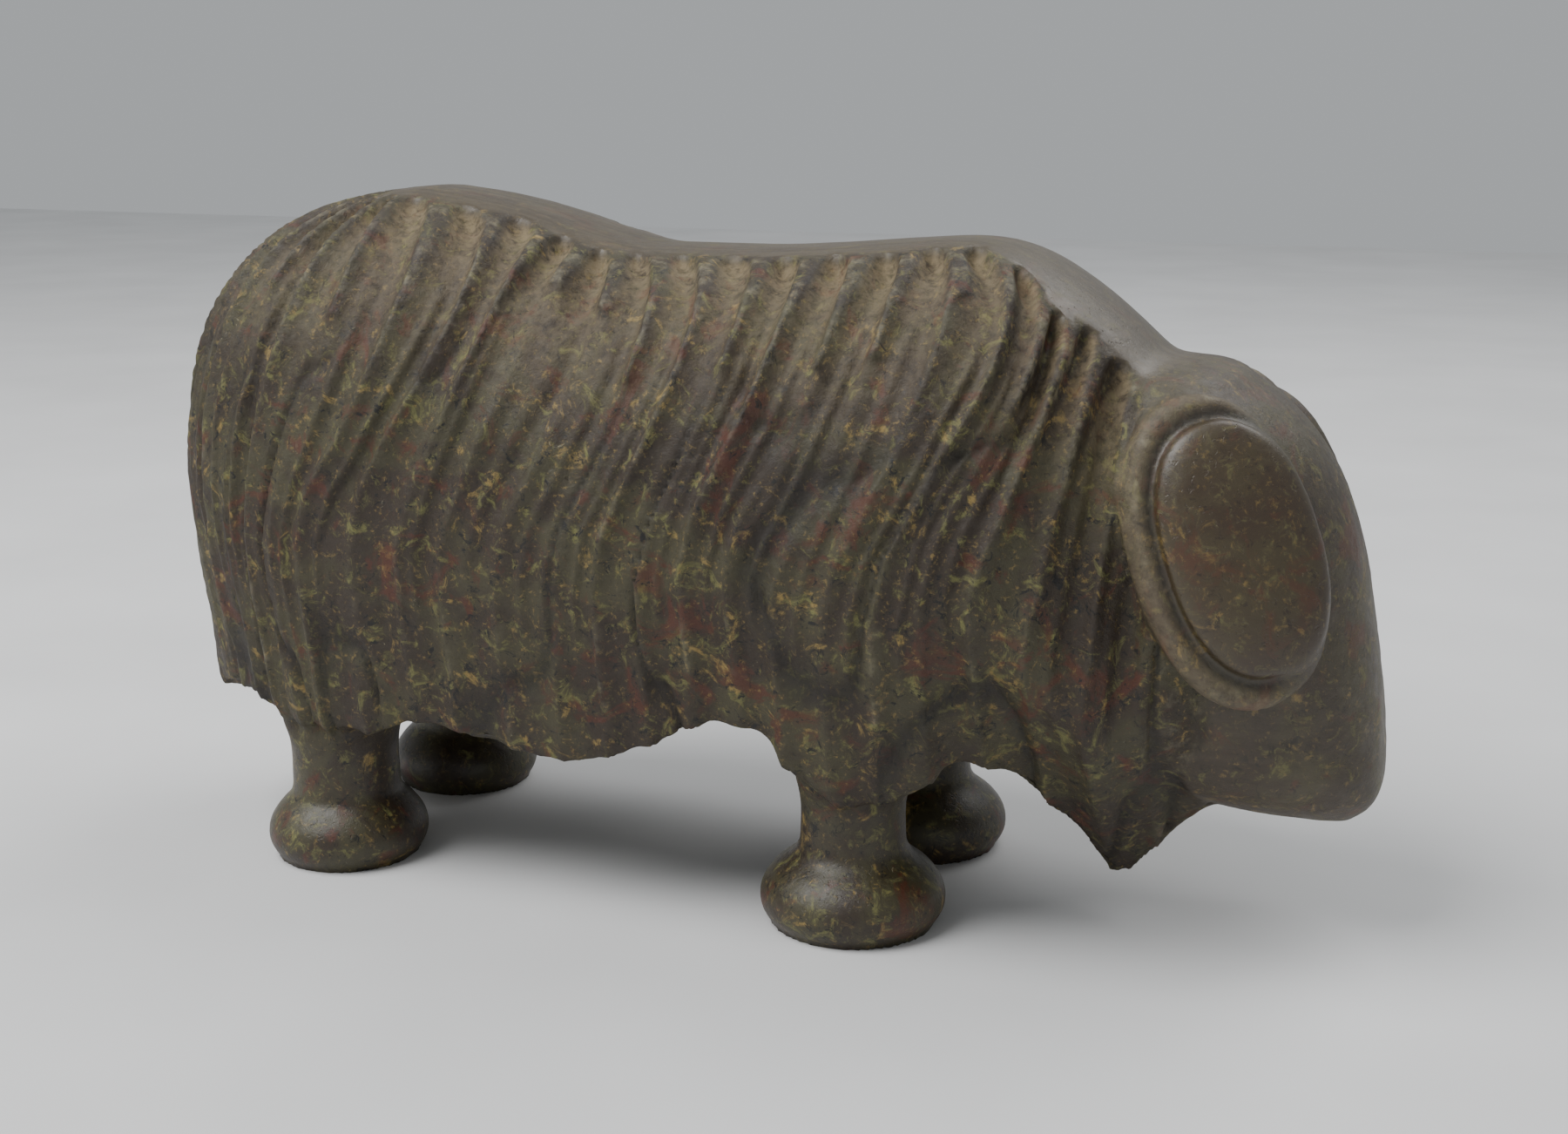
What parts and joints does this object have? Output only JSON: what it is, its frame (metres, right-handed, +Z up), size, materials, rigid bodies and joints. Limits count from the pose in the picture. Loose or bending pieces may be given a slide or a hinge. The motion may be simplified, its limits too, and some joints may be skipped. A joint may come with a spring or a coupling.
{
  "type": "soapstone musk ox carving",
  "caption": "Musk ox figure carved from one block of dark mottled soapstone, with gouged coat locks, drooping horn plates and short flared feet.",
  "frame": {"origin": "on the ground under the middle of the carving's box", "axes": "+X towards the head, +Y towards the animal's left side, +Z up"},
  "size_m": [0.2376, 0.0858, 0.1294],
  "materials": {
    "soapstone": "dark olive-brown mottled soapstone, waxed to a low sheen on the back, horns and feet, matte in the gouges"
  },
  "bodies": {
    "root": {"musk_ox": "soapstone"}
  },
  "joints": []
}
